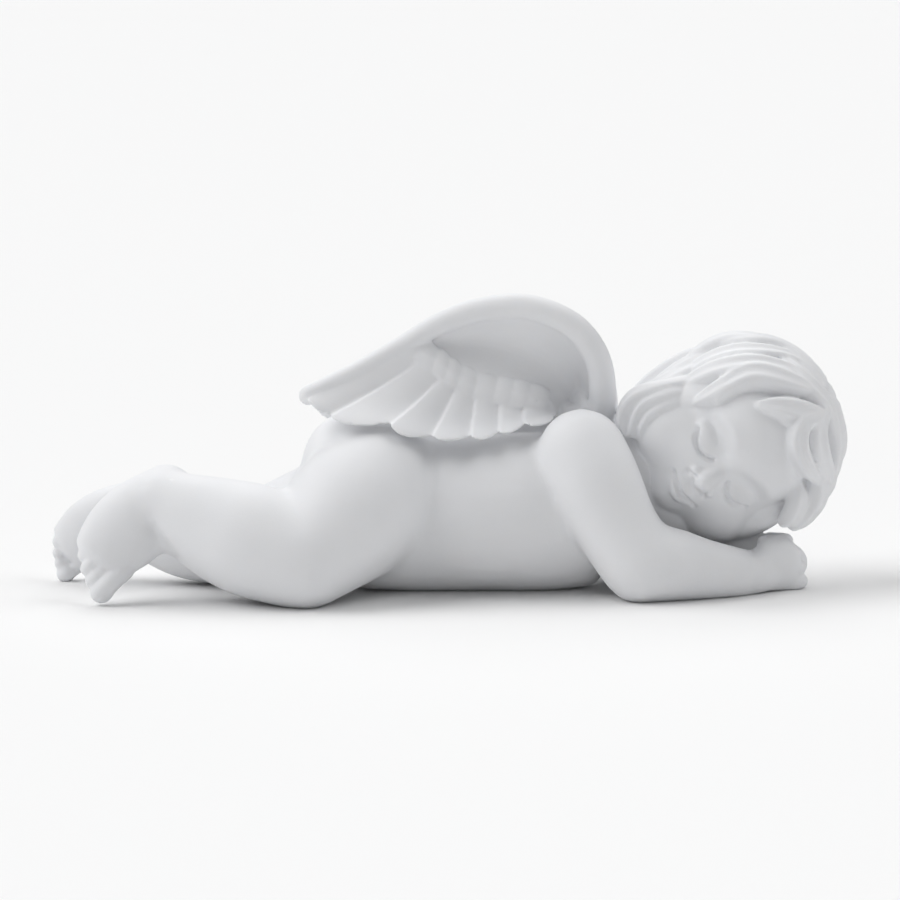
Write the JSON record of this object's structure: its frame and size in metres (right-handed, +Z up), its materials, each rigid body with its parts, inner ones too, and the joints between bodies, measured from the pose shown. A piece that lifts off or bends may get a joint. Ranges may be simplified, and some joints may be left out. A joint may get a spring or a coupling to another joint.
{
  "type": "sleeping angel statue",
  "caption": "Small white porcelain statue of a sleeping winged cherub lying on its front, cheek on its folded arm, for display on a shelf, table or grave.",
  "frame": {"origin": "on the table under the middle of the figure's bounding box", "axes": "+X from the feet to the crown of the head, +Y away from the side that the face looks to, +Z up"},
  "size_m": [0.15, 0.0584, 0.0558],
  "materials": {
    "porcelain": "unglazed, matte, near-white with a cool cast"
  },
  "bodies": {
    "root": {"sleeping_angel": "porcelain"}
  },
  "joints": []
}
